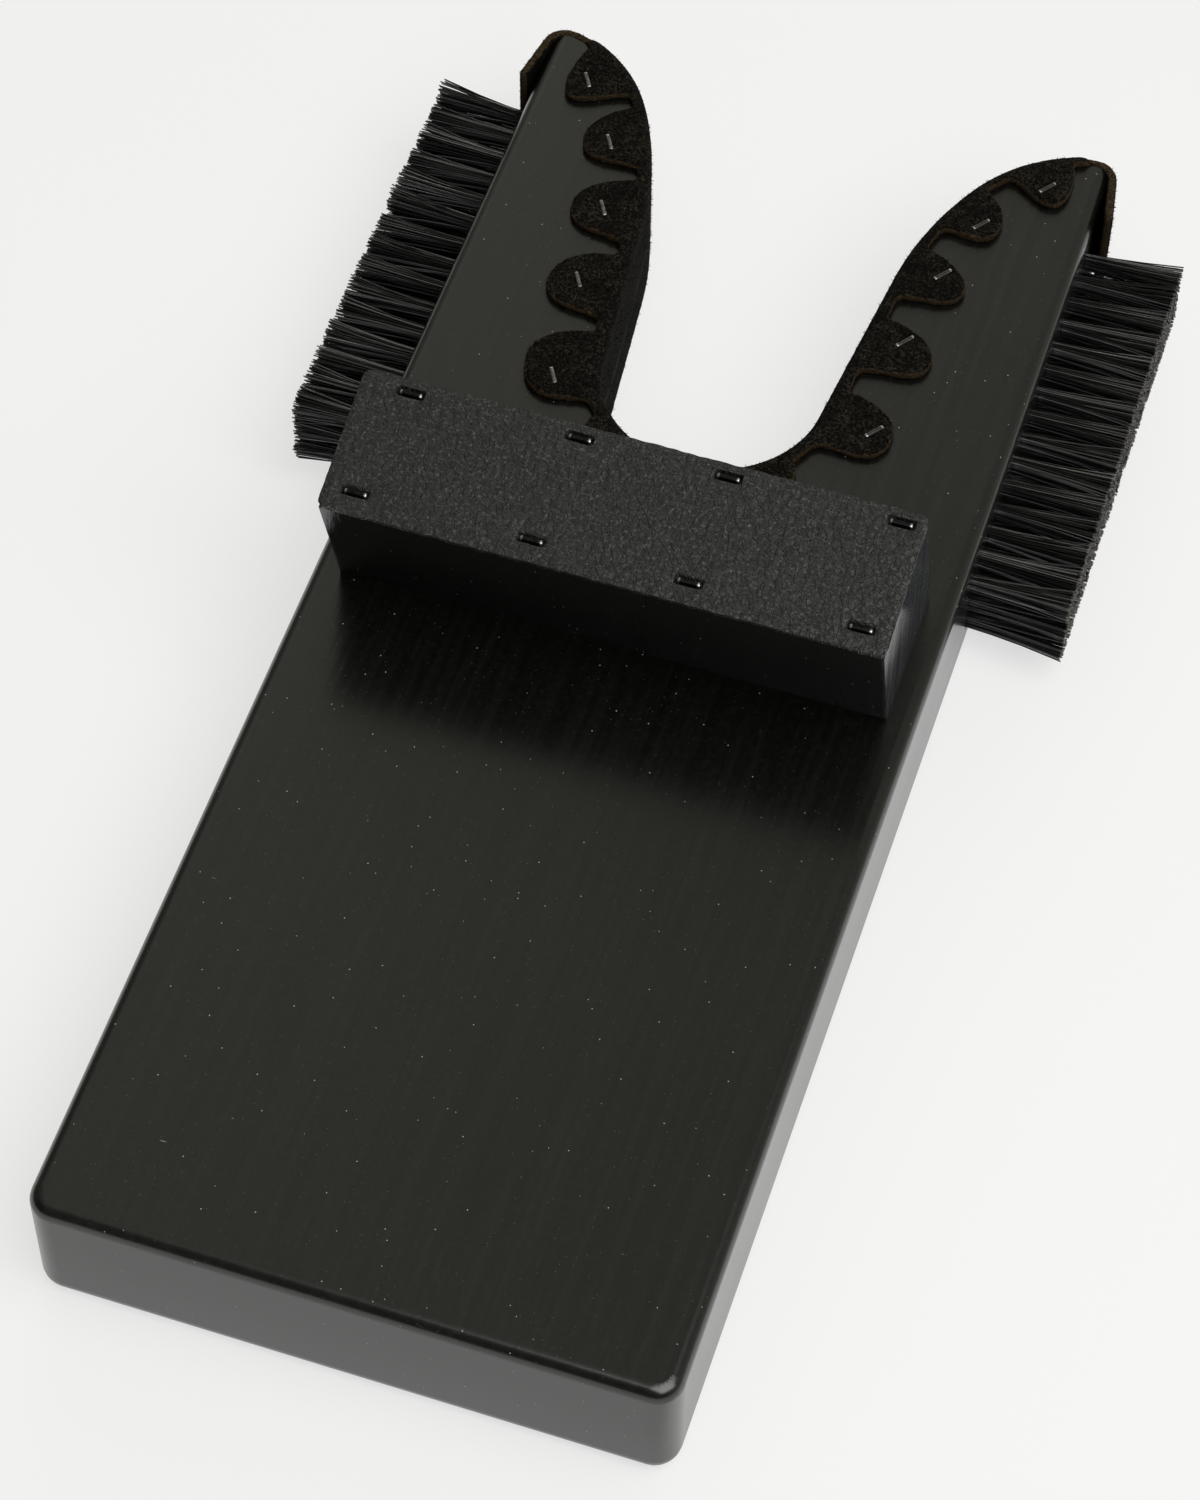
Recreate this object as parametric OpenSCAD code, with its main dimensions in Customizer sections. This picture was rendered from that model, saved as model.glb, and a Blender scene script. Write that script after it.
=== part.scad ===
// Boot jack with a suede-lined heel notch, a slanted fulcrum block and a brush on each side.
// It lies tread face down on z = 0 with the fulcrum block up, the rear edge towards -Y and the
// horns towards +Y. In use it is turned over: the block's pad and the rear edge stand on the floor.

/* [Board] */
// Width of the board
board_w = 152.4; // [146:0.1:160]
// Length of the wood from the rear edge to the horn tips
board_l = 372; // [350:1:400]
// Thickness of the board
board_t = 38.1; // [34:0.1:42]
// Rounding of the edges round the face that carries the block
edge_r = 3.4; // [1.5:0.1:4]
// Rounding of the edges round the tread face
tread_edge_r = 5.5; // [3:0.1:6]
// Rounding of the two rear corners in plan
corner_r = 6.5; // [6.5:0.5:10]

/* [Heel notch] */
// Radius of the closed end of the notch in the wood
notch_r = 30; // [28:0.5:32]
// Angle by which each straight side leans outwards
notch_lean = 6; // [4:0.5:8]
// Length of each straight side
notch_side = 50; // [44:1:56]
// Radius of the slow curve where the notch starts to flare
throat_r = 88; // [80:1:96]
// Angle turned along that curve
throat_turn = 24; // [20:1:26]
// Radius of each horn's rounded inner face
horn_r = 41; // [38:1:44]
// Radius of each horn's outer corner
tip_r = 4; // [3:0.5:5]
// Extra width of the hand-cut notch on its left side
left_wider = 1.3; // [0:0.1:2]

/* [Fulcrum block] */
// Length of the block across the board
block_l = 138.2; // [120:0.1:140]
// Depth of the block from front to back
block_d = 36; // [32:0.5:40]
// Height of the block's front face
block_h = 39.6; // [34:0.1:44]
// Angle at which the block leans towards the rear
block_lean = 15; // [10:0.5:18]
// Distance from the rear edge to the foot of the block's front face
block_y = 186.5; // [180:0.5:192]

/* [Leather pad] */
// Thickness of the pad on the block
pad_t = 2; // [1.8:0.1:3]
// Overhang of the pad round the block
pad_over = 0.3; // [0:0.1:0.6]
// Depth of each staple's pocket over the crown
pocket_depth = 0.5; // [0.3:0.1:0.6]

/* [Notch lining] */
// Thickness of the suede
suede_t = 2.4; // [2:0.1:3]
// Distance from the tread face to the lining's lower edge
suede_lift = 3; // [0.3:0.1:6]
// Fold left over the wood in the valleys, at the closed end and at the horns
valley_reach = [2.2, 0.6];
// Reach of the left tabs over the wood, from the closed end to the horn
left_reach = [9, 17.3, 17.3, 16.8, 15.6, 16.4];
// Reach of the right tabs, in the same order
right_reach = [9, 17.5, 17.3, 16.2, 12.6, 14];
// Width of the left tabs and of the right tabs, as a share of their widest form
tab_share = [1, 0.85];
// Distance along the notch from its middle to the first valley on the left
left_start = 1.2; // [1:0.1:4]
// The same on the right
right_start = 5; // [4:0.1:6]
// Length of the free tail outside each horn
tail_l = 14; // [8:1:18]
// Angle at which each tail stands off the board's side
tail_flare = 10; // [6:1:14]

/* [Staples] */
// Width over the legs
staple_w = 5.7; // [5:0.1:7]
// Width of the wire
wire_w = 1.25; // [1:0.05:1.5]
// Thickness of the wire
wire_t = 1; // [0.8:0.05:1.2]
// Length of the legs
staple_leg = 12; // [8:1:16]
// Distance along the notch to each staple of the left tabs
left_staple_at = [38, 68, 93, 118, 146];
// Distance from the notch's edge to each of them
left_staple_in = [9.7, 9.4, 8.4, 8.6, 9.3];
// The same two for the right tabs
right_staple_at = [45, 75, 100, 122, 148];
right_staple_in = [12.3, 8.4, 8.7, 7.6, 7.6];
// Turn of the lining's staples from the board's length, on the left and on the right
tab_staple_turn = [30, 38];
// Distance across the block to each staple along the pad's front edge, from its middle
front_staple_x = [-61.5, -18, 20.5, 62];
// The same along its back edge
back_staple_x = [-57, -15, 21.5, 63.5];
// Distance from the pad's front edge to the front staples and to the back staples
staple_row = [5.3, 33];

/* [Brushes] */
// Tufts in each row
tufts = 15; // [13:1:15]
// Rows of tufts in the board's thickness
tuft_rows = 3; // [2:1:3]
// Spacing of the tufts along a row
tuft_pitch = 7.8; // [7:0.1:7.8]
// Spacing of the rows
row_pitch = 7.5; // [6.5:0.1:7.8]
// Free length of the bristles
bristle_l = 25; // [15:1:30]
// Radius of one bundled strand
strand_r = 0.75; // [0.5:0.05:0.8]
// Distance from the rear edge to the first tuft's cell
brush_y = 236.6; // [230:0.1:237]
// Depth of the board's edge in which the tufts are set
tuft_bed = 1.2; // [1:0.1:3]

/* [Block screws] */
// Length of each screw
screw_l = 63.5; // [55:0.5:68]
// Radius of the shank
screw_r = 2.4; // [2:0.1:2.8]
// Radius of the countersunk head
head_r = 4.6; // [4:0.1:5]
// Distance between the screws
screw_pitch = 45; // [35:1:55]

/* [Hidden] */
$fn = 48;
cut = 1;                       // how far a cutter runs past the face that it opens
half_w = board_w / 2;
rear_y = -(board_l + suede_t) / 2;

// The notch's right edge runs from the middle of its closed end to the horn's outer corner. A place
// on it is [x, y, heading], with the heading in degrees from +X and the wood on the walk's right.
function run(r, turn) = PI * r * turn / 180;
function turned(r, d) = 180 * d / (PI * r);
function left_bend(c, r, h) = [c[0] + r * sin(h), c[1] - r * cos(h), h];
function right_bend(c, r, h) = [c[0] - r * sin(h), c[1] + r * cos(h), h];
function bend_centre(p, r) = [p[0] + r * sin(p[2]), p[1] - r * cos(p[2])];
function ahead(p, d) = [p[0] + d * cos(p[2]), p[1] + d * sin(p[2]), p[2]];

side_heading = 90 - notch_lean;
side_start = left_bend([0, 0], notch_r, side_heading);
throat_c = bend_centre(ahead(side_start, notch_side), throat_r);
nose_heading = side_heading - throat_turn;
nose_c = bend_centre(right_bend(throat_c, throat_r, nose_heading), horn_r);
tip_heading = asin((nose_c[0] + tip_r - half_w) / (horn_r - tip_r));
tip_c = bend_centre(right_bend(nose_c, horn_r, tip_heading), tip_r);
notch_y = board_l - tip_c[1] - tip_r;

side_at = run(notch_r, side_heading);
throat_at = side_at + notch_side;
nose_at = throat_at + run(throat_r, throat_turn);
tip_at = nose_at + run(horn_r, nose_heading - tip_heading);
tail_at = tip_at + run(tip_r, tip_heading + 90 - tail_flare);

function edge_at(s) =
    s < side_at ? left_bend([0, 0], notch_r, turned(notch_r, s))
    : s < throat_at ? ahead(side_start, s - side_at)
    : s < nose_at ? right_bend(throat_c, throat_r, side_heading - turned(throat_r, s - throat_at))
    : s < tip_at ? right_bend(nose_c, horn_r, nose_heading - turned(horn_r, s - nose_at))
    : s <= tail_at ? right_bend(tip_c, tip_r, tip_heading - turned(tip_r, s - tip_at))
    : ahead(edge_at(tail_at), s - tail_at);

// The same place on the right side (1) or the left side (-1), from the board's rear edge
function ease(t) = let (u = min(1, max(0, t))) u * u * (3 - 2 * u);
function fade(s) = ease(s / side_at) * ease((tip_at - s) / 50);
function edge_on(s, side) =
    let (p = edge_at(s), extra = side < 0 ? left_wider * fade(s) : 0)
    [side * (p[0] + extra), notch_y + p[1], p[2]];

// A tab leaves its rounded valley in an S, has a broad crown and falls steeply to the next valley.
// The right side's last tab ends just before the horn's outer corner.
run_out = 1.5;
tab_pitch = (tip_at - run_out - 0.5 - right_start) / len(right_reach);
tab_at = [0, 0.1, 0.14, 0.17, 0.2, 0.24, 0.29, 0.36, 0.46, 0.6, 0.72, 0.81, 0.88, 0.92, 0.945, 0.955];
lip = 0.2;                     // overlap on the wood where the strip has no tabs
plain_rise = 0.4;              // how far the strip's plain edge stands over the wood
function rise(u) = ease(u / 0.4) * (1 - pow(1 - u, 2.6));
function fall(u) = pow(max(0, 1 - pow(u, 2.2)), 0.5);
function crown(t) =
    t < 0.1 ? 0
    : t < 0.5 ? rise((t - 0.1) / 0.4)
    : fall((t - 0.5) / 0.455);
function valley(s) = valley_reach[0] + (valley_reach[1] - valley_reach[0]) * s / tip_at;
function tab(start, reach, share) = [
    for (t = tab_at)
        let (s = start + (t > 0 ? 0.5 + (t - 0.5) * share : 0) * tab_pitch)
        [s, valley(s) + (reach - valley(s)) * crown(t), suede_t]
];
// Stations along one side: [distance, reach over the wood, height over the wood]
function stations(start, reaches, share) =
    let (last = start + len(reaches) * tab_pitch)
    concat(
        [for (i = [0 : len(reaches) - 1]) each tab(start + i * tab_pitch, reaches[i], share)],
        [[last, valley(last), suede_t], [last + run_out, lip, plain_rise]],
        [for (i = [0 : 6]) [tip_at + (tail_at - tip_at) * i / 6, lip, plain_rise]],
        [[tail_at + tail_l / 2, lip, plain_rise], [tail_at + tail_l, lip, plain_rise]]
    );
left_stations = stations(left_start, left_reach, tab_share[0]);
right_stations = stations(right_start, right_reach, tab_share[1]);
middle_station = [0, valley_reach[0], suede_t];

// Section of the strip at one station, for the right side (1) or the left side (-1)
function section(st, side) =
    let (
        p = edge_on(st[0], side), out = [-side * sin(p[2]), cos(p[2])], top = board_t,
        profile = concat(
            [[0, suede_lift], [suede_t, suede_lift]],
            [for (a = [0 : 45 : 90]) [suede_t * cos(a), top + st[2] * sin(a)]],
            [[-st[1], top + st[2]], [-st[1], top], [0, top]]
        )
    )
    [for (q = profile) [p[0] + q[0] * out[0], p[1] + q[0] * out[1], q[1]]];

module staple() {
    translate([0, 0, -wire_t / 2]) cube([staple_w, wire_w, wire_t], center = true);
    for (side = [-1, 1])
        translate([side * (staple_w - wire_w) / 2, 0, -staple_leg / 2])
            cube([wire_w, wire_w, staple_leg], center = true);
}

// Each tab that the block doesn't hide is stapled once, with the crown sunk in the nap
staple_sink = 0.3;
module tab_staple_row(side, distances, insets, turn) {
    for (i = [0 : len(distances) - 1]) {
        p = edge_on(distances[i], side);
        x = p[0] + side * insets[i] * sin(p[2]);
        y = p[1] - insets[i] * cos(p[2]);
        translate([x, y, board_t + suede_t - staple_sink])
            rotate([0, 0, 90 - side * turn])
                staple();
    }
}

module tab_staples() {
    tab_staple_row(-1, left_staple_at, left_staple_in, tab_staple_turn[0]);
    tab_staple_row(1, right_staple_at, right_staple_in, tab_staple_turn[1]);
}

// Wood

// The board's edge in section, from [0, 0] inwards by w: one radius below and another one above
module rounded_edge(w) {
    intersection() {
        square([w, board_t]);
        union() {
            translate([tread_edge_r, 0]) square([w, tread_edge_r]);
            translate([0, tread_edge_r]) square([w, board_t - tread_edge_r - edge_r]);
            translate([edge_r, board_t - edge_r]) square([w, edge_r]);
            translate([tread_edge_r, tread_edge_r]) circle(tread_edge_r);
            translate([edge_r, board_t - edge_r]) circle(edge_r);
        }
    }
}

// The board before the notch is cut: two halves, the rear edge between the corners, two corners
module blank() {
    inner_w = half_w - corner_r;
    for (side = [0, 1])
        mirror([side, 0, 0]) {
            translate([-half_w, board_l + cut, 0])
                rotate([90, 0, 0])
                    linear_extrude(board_l + cut - corner_r)
                        rounded_edge(half_w);
            translate([-inner_w, 0, 0])
                rotate([90, 0, 90])
                    linear_extrude(inner_w)
                        rounded_edge(corner_r);
            translate([-inner_w, corner_r, 0])
                rotate([0, 0, 180])
                    rotate_extrude(angle = 90)
                        translate([corner_r, 0])
                            mirror([1, 0, 0])
                                rounded_edge(corner_r);
        }
}

// Everything past the notch's edge and the horns' ends, in plan
module notch_plan() {
    function wood_edge(list, side) = [
        for (st = list) if (st[0] <= tail_at)
            let (p = edge_on(st[0], side)) [p[0], p[1]]
    ];
    right = wood_edge(right_stations, 1);
    left = wood_edge(left_stations, -1);
    far = half_w + 8;
    horn_y = notch_y + tip_c[1];
    polygon(concat(
        [[0, notch_y - notch_r]], right,
        [[half_w, horn_y], [far, horn_y], [far, board_l + 8], [-far, board_l + 8]],
        [[-far, horn_y], [-half_w, horn_y]],
        [for (i = [len(left) - 1 : -1 : 0]) left[i]]
    ));
}

brush_l = tufts * tuft_pitch;
brush_h = tuft_rows * row_pitch;
brush_z = (board_t - brush_h) / 2;

module board() {
    color([0.13, 0.13, 0.14])
        translate([0, rear_y, 0])
            difference() {
                blank();
                translate([0, 0, -cut]) linear_extrude(board_t + 2 * cut) notch_plan();
                for (side = [-1, 1])
                    translate([side * half_w, brush_y + brush_l / 2, board_t / 2])
                        cube([2 * tuft_bed, brush_l, brush_h], center = true);
                tab_staples();
                screws(0.15);
            }
}

// Fulcrum block

module on_block() {
    translate([0, block_y, board_t]) rotate([block_lean, 0, 0]) children();
}

module fulcrum_block() {
    color([0.1, 0.1, 0.11])
        translate([0, rear_y, 0])
            difference() {
                on_block()
                    rotate([90, 0, 90])
                        linear_extrude(block_l, center = true)
                            polygon([
                                [0, 0], [block_d, -block_d * tan(block_lean)],
                                [block_d, block_h], [0, block_h]
                            ]);
                pad_staple_set();
                screws(0);
            }
}

module fulcrum_pad() {
    l = block_l + 2 * pad_over;
    d = block_d + 2 * pad_over;
    r = 2;
    color([0.17, 0.17, 0.18])
        translate([0, rear_y, 0])
            difference() {
                on_block()
                    translate([0, block_d / 2, block_h])
                        linear_extrude(pad_t)
                            union() {
                                square([l - 2 * r, d], center = true);
                                square([l, d - 2 * r], center = true);
                                for (x = [-1, 1], y = [-1, 1])
                                    translate([x * (l / 2 - r), y * (d / 2 - r)]) circle(r);
                            }
                pad_staple_set();
                on_pad_staples()
                    translate([0, 0, (pocket_depth + cut - wire_t) / 2])
                        cube([staple_w + 1.2, wire_w + 1, pocket_depth + cut + wire_t], center = true);
            }
}

// Two rows of staples hold the pad, crowns across the board
module on_pad_staples() {
    for (row = [0, 1])
        for (x = [front_staple_x, back_staple_x][row])
            on_block()
                translate([x, staple_row[row], block_h + pad_t - pocket_depth])
                    children();
}

module pad_staple_set() {
    on_pad_staples() staple();
}

module pad_staples() {
    color([0.35, 0.35, 0.36]) translate([0, rear_y, 0]) pad_staple_set();
}

// Suede lining: one strip, folded over the wood's edge

module notch_lining() {
    left_sections = [
        for (i = [len(left_stations) - 1 : -1 : 0]) section(left_stations[i], -1)
    ];
    right_sections = [for (st = right_stations) section(st, 1)];
    sections = concat(left_sections, [section(middle_station, 1)], right_sections);
    n = len(sections);
    m = len(sections[0]);
    inner = m - 1;             // the point at the wood's top edge, from which a section fans out
    faces = concat(
        [for (i = [0 : n - 2]) for (k = [0 : m - 1])
            let (a = i * m + k, b = i * m + (k + 1) % m)
            each [[a, b, b + m], [a, b + m, a + m]]],
        [for (k = [0 : m - 3]) [inner, k + 1, k]],
        [for (k = [0 : m - 3]) (n - 1) * m * [1, 1, 1] + [inner, k, k + 1]]
    );
    color([0.16, 0.14, 0.12])
        translate([0, rear_y, 0])
            difference() {
                polyhedron([for (s = sections) each s], faces);
                tab_staples();
            }
}

module lining_staples() {
    color([0.6, 0.6, 0.61]) translate([0, rear_y, 0]) tab_staples();
}

// Brushes: each tuft is a square of four bundled strands that spread towards their cut ends

root_gap = 0.9;                // from a tuft's middle to a strand at its root
module right_bristles() {
    ny = 2 * tufts;
    nz = 2 * tuft_rows;
    tip_y = tuft_pitch / 4;
    tip_z = row_pitch / 4;
    tip_x = half_w + bristle_l;
    function grid(i, j) = i * (nz + 1) + j;
    function outward(i) = i % 2 == 0 ? -1 : 1;
    function stir(i, j) = 0.35 * sin(137 * i + 71 * j);
    function strand(x, dy, dz, i, j, sway) = [
        for (a = [210, 330, 90]) [
            x,
            brush_y + (i - i % 2 + 1) * tuft_pitch / 2 + outward(i) * dy + sway * stir(i, j)
                + strand_r * cos(a),
            brush_z + (j - j % 2 + 1) * row_pitch / 2 + outward(j) * dz + sway * stir(j, i)
                + strand_r * sin(a)
        ]
    ];
    bed = [for (i = [0 : ny]) for (j = [0 : nz])
        [half_w, brush_y + i * tuft_pitch / 2, brush_z + j * row_pitch / 2]];
    strands = [for (i = [0 : ny - 1]) for (j = [0 : nz - 1])
        each concat(
            strand(half_w, root_gap, root_gap, i, j, 0), strand(tip_x, tip_y, tip_z, i, j, 1)
        )];
    back = [for (c = [[0, 0], [1, 0], [1, 1], [0, 1]])
        [half_w - tuft_bed, brush_y + c[0] * brush_l, brush_z + c[1] * brush_h]];
    first = len(bed);
    b = first + len(strands);
    cells = [for (i = [0 : ny - 1]) for (j = [0 : nz - 1])
        let (
            g0 = grid(i, j), g1 = grid(i + 1, j), g2 = g1 + 1, g3 = g0 + 1,
            r = first + 6 * (i * nz + j), t = r + 3
        )
        each [
            [g0, g1, r], [g1, r + 1, r], [g1, g2, r + 1], [g2, r + 2, r + 1],
            [g2, g3, r + 2], [g3, r, r + 2], [g3, g0, r],
            [r, r + 1, t + 1], [r, t + 1, t], [r + 1, r + 2, t + 2], [r + 1, t + 2, t + 1],
            [r + 2, r, t], [r + 2, t, t + 2], [t, t + 1, t + 2]
        ]];
    rims = concat(
        [for (i = [0 : ny - 1]) each [
            [b, grid(i + 1, 0), grid(i, 0)], [b + 3, grid(i, nz), grid(i + 1, nz)]
        ]],
        [for (j = [0 : nz - 1]) each [
            [b, grid(0, j), grid(0, j + 1)], [b + 1, grid(ny, j + 1), grid(ny, j)]
        ]],
        [
            [b, b + 1, grid(ny, 0)], [b + 3, grid(ny, nz), b + 2],
            [b, grid(0, nz), b + 3], [b + 1, b + 2, grid(ny, nz)],
            [b, b + 3, b + 2], [b, b + 2, b + 1]
        ]
    );
    polyhedron(concat(bed, strands, back), [for (f = concat(cells, rims)) [f[2], f[1], f[0]]]);
}

module right_brush() {
    color([0.09, 0.09, 0.1]) translate([0, rear_y, 0]) right_bristles();
}

module left_brush() {
    color([0.09, 0.09, 0.1]) translate([0, rear_y, 0]) mirror([1, 0, 0]) right_bristles();
}

// Screws from the tread face into the block

head_h = 3.6;
head_sink = 0.4;
point_l = 6;
module screws(clearance) {
    y = block_y + block_d / (2 * cos(block_lean));
    for (i = [-1 : 1])
        translate([i * screw_pitch, y, head_sink]) {
            cylinder(h = head_h, r1 = head_r, r2 = screw_r);
            cylinder(h = screw_l - point_l, r = screw_r + clearance);
            translate([0, 0, screw_l - point_l]) cylinder(h = point_l, r1 = screw_r, r2 = 0.4);
            if (clearance > 0)
                translate([0, 0, -head_sink - cut]) cylinder(h = head_sink + cut, r = head_r);
        }
}

module block_screws() {
    y = block_y + block_d / (2 * cos(block_lean));
    slot = [6, 1, 2];
    color([0.7, 0.68, 0.6])
        translate([0, rear_y, 0])
            difference() {
                screws(0);
                for (i = [-1 : 1])
                    translate([i * screw_pitch, y, head_sink])
                        for (a = [0, 90])
                            rotate([0, 0, a]) cube(slot, center = true);
            }
}

board();
fulcrum_block();
fulcrum_pad();
pad_staples();
notch_lining();
lining_staples();
left_brush();
right_brush();
block_screws();
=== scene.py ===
# Boot jack: materials, brushes, suede lining, leather pad, staples, light and camera.
import math
import random

import bpy
from mathutils import Matrix, Vector, noise
from mathutils.bvhtree import BVHTree


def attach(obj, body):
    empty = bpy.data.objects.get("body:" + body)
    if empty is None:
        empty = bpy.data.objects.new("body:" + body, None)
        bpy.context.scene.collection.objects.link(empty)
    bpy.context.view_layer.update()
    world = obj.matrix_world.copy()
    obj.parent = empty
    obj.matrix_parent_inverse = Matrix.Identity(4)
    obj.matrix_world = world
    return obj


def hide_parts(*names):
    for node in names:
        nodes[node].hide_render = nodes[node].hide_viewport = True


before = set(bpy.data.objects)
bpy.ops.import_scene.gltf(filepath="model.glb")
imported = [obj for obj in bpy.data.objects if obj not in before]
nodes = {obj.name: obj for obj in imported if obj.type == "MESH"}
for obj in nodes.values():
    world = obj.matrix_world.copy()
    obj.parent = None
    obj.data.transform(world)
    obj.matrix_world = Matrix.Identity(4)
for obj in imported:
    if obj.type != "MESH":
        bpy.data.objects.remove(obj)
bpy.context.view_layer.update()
mm = 0.001
print("frame loaded:", len(nodes), "nodes")


# Small helpers

def dropSelection():
    bpy.ops.object.select_all(action="DESELECT")


def pickOnly(*objects):
    dropSelection()
    for piece in objects:
        piece.select_set(True)
    bpy.context.view_layer.objects.active = objects[0]


def fresh(name, size=None):
    piece = bpy.context.object
    piece.name = name
    piece.data.name = name
    if size:
        piece.scale = size
    return piece


def settle(piece):
    pickOnly(piece)
    bpy.ops.object.transform_apply(location=True, rotation=True, scale=True)


def addModifier(piece, kind, **settings):
    modifier = piece.modifiers.new(kind.title(), kind)
    for key, value in settings.items():
        setattr(modifier, key, value)
    pickOnly(piece)
    bpy.ops.object.modifier_apply(modifier=modifier.name)


def placedCopy(piece, place):
    twin = piece.copy()
    twin.data = piece.data.copy()
    twin.data.transform(place)
    bpy.context.collection.objects.link(twin)
    return twin


def joined(parts, name):
    pickOnly(*parts)
    bpy.ops.object.join()
    return fresh(name)


def forget(piece):
    bpy.data.objects.remove(piece, do_unlink=True)


def freeCopy(node):
    # a solid's mesh as a piece of its own, with its doubled vertices merged
    piece = placedCopy(nodes[node], Matrix.Identity(4))
    piece.parent = None
    piece.hide_set(False)
    piece.hide_render = False
    pickOnly(piece)
    bpy.ops.object.mode_set(mode="EDIT")
    bpy.ops.mesh.select_all(action="SELECT")
    bpy.ops.mesh.remove_doubles(threshold=0.01 * mm)
    bpy.ops.object.mode_set(mode="OBJECT")
    return piece


def selectFaces(piece, wanted):
    bpy.ops.object.mode_set(mode="OBJECT")
    for polygon in piece.data.polygons:
        polygon.select = wanted(polygon)
    bpy.ops.object.mode_set(mode="EDIT")
    bpy.ops.mesh.select_mode(type="FACE")


def smooth(piece, angle=40):
    pickOnly(piece)
    bpy.ops.object.shade_smooth_by_angle(angle=math.radians(angle))


def bump01(x):
    x = min(1, max(0, x))
    return x * x * (3 - 2 * x)


# Shader maths on sockets

class Wire:
    def __init__(self, finish, socket):
        self.finish = finish
        self.socket = socket

    def math(self, how, *others):
        values = {i: v for i, v in enumerate((self, *others))}
        return self.finish.make("ShaderNodeMath", {"operation": how}, values)

    def __add__(self, other):
        return self.math("ADD", other)

    def __sub__(self, other):
        return self.math("SUBTRACT", other)

    def __rsub__(self, other):
        return self.math("MULTIPLY", -1).math("ADD", other)

    def __mul__(self, other):
        return self.math("MULTIPLY", other)

    def above(self, low, high):
        return self.finish.make("ShaderNodeMapRange", {"interpolation_type": "SMOOTHSTEP"},
                                {"Value": self, "From Min": low, "From Max": high})

    __radd__ = __add__
    __rmul__ = __mul__


class Finish:
    def __init__(self, name, **fixed):
        self.material = bpy.data.materials.new(name)
        self.material.use_nodes = True
        self.tree = self.material.node_tree
        self.shader = self.tree.nodes["Principled BSDF"]
        for key, value in fixed.items():
            self.shader.inputs[key.replace("_", " ")].default_value = value
        coords = self.tree.nodes.new("ShaderNodeTexCoord")
        self.place = Wire(self, coords.outputs["Object"])

    def make(self, kind, settings=None, values=None, output=0):
        node = self.tree.nodes.new(kind)
        for key, value in (settings or {}).items():
            setattr(node, key, value)
        for key, value in (values or {}).items():
            if isinstance(value, Wire):
                self.tree.links.new(value.socket, node.inputs[key])
            else:
                node.inputs[key].default_value = value
        return Wire(self, node.outputs[output])

    def scaled(self, sx, sy, sz, turn=(0, 0, 0)):
        return self.make("ShaderNodeMapping", {"vector_type": "POINT"},
                         {"Vector": self.place, "Scale": (sx, sy, sz), "Rotation": turn})

    def noise(self, scale, detail=2, where=None, rough=0.5, warp=0):
        return self.make("ShaderNodeTexNoise", {},
                         {"Vector": where or self.place, "Scale": scale, "Detail": detail,
                          "Roughness": rough, "Distortion": warp})

    def cells(self, scale, feature="F1", where=None, output=0, space="3D"):
        return self.make("ShaderNodeTexVoronoi", {"voronoi_dimensions": space, "feature": feature},
                         {"Vector": where or self.place, "Scale": scale}, output)

    def mix(self, factor, first, second):
        return self.make("ShaderNodeMix", {"data_type": "RGBA"},
                         {0: factor, 6: self.colour(first), 7: self.colour(second)}, 2)

    def colour(self, value):
        return value if isinstance(value, Wire) else (*value, 1)

    def feed(self, name, wire):
        self.tree.links.new(wire.socket, self.shader.inputs[name])

    def bump(self, height, depth, under=None):
        values = {"Height": height, "Strength": 1.0, "Distance": depth}
        if under:
            values["Normal"] = under
        return self.make("ShaderNodeBump", {}, values)

    def specks(self, cell, size, share, where=None):
        # sparse round dots: cell in metres, size as a share of the cell, share of the cells used
        near = self.cells(1 / cell, "F1", where)
        pick = self.make("ShaderNodeSeparateColor", {}, {0: self.cells(1 / cell, "F1", where, 1)})
        return (1 - near.above(size * 0.5, size)) * pick.above(1 - share, 1.001 - share)


def paintedWood(name, look, along):
    # along is the scale of the grain in cycles per metre on X, Y and Z
    paint = Finish(name, IOR=look["ior"])
    grain = paint.noise(1, 3, paint.scaled(*along), 0.6)
    pores = paint.noise(1, 2, paint.scaled(*[look["poresFiner"] * v for v in along]), 0.7)
    cloud = paint.noise(look["cloudScale"], 3)
    film = paint.noise(look["filmScale"], 4, rough=0.7).above(*look["filmRange"])
    dust = paint.specks(look["dustCell"], look["dustSize"], look["dustShare"])
    powder = paint.specks(look["powderCell"], look["dustSize"], look["dustShare"])
    stretched = paint.scaled(look["hairStretch"], 1, 1, (0, 0, look["hairTurn"]))
    hairs = paint.specks(look["hairCell"], look["hairSize"], look["hairShare"], stretched)
    dust = dust + (powder + hairs) * look["faintDust"]
    lighter = grain.above(*look["grainRange"]) * look["grainShare"] + film * look["filmShare"]
    tone = paint.mix(lighter, look["dark"], look["light"])
    if "endReflection" in look:
        # the block's sawn ends are painted paler and bluish, streaked along the grain: a painted
        # reflection of the bright floor
        across = paint.make("ShaderNodeSeparateXYZ", {}, {0: paint.place}).math("ABSOLUTE")
        pale = across.above(*look["ends"]) * grain.above(*look["endRange"])
        tone = paint.mix(pale, tone, look["endReflection"])
    paint.feed("Base Color", paint.mix(dust, tone, look["dust"]))
    uneven = cloud * look["cloudRough"] + grain * look["grainRough"] + dust * look["dustRough"]
    paint.feed("Roughness", uneven + look["rough"])
    fine = paint.bump(pores, look["poreDepth"])
    paint.feed("Normal", paint.bump(grain, look["grainDepth"], fine))
    return paint.material


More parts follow.
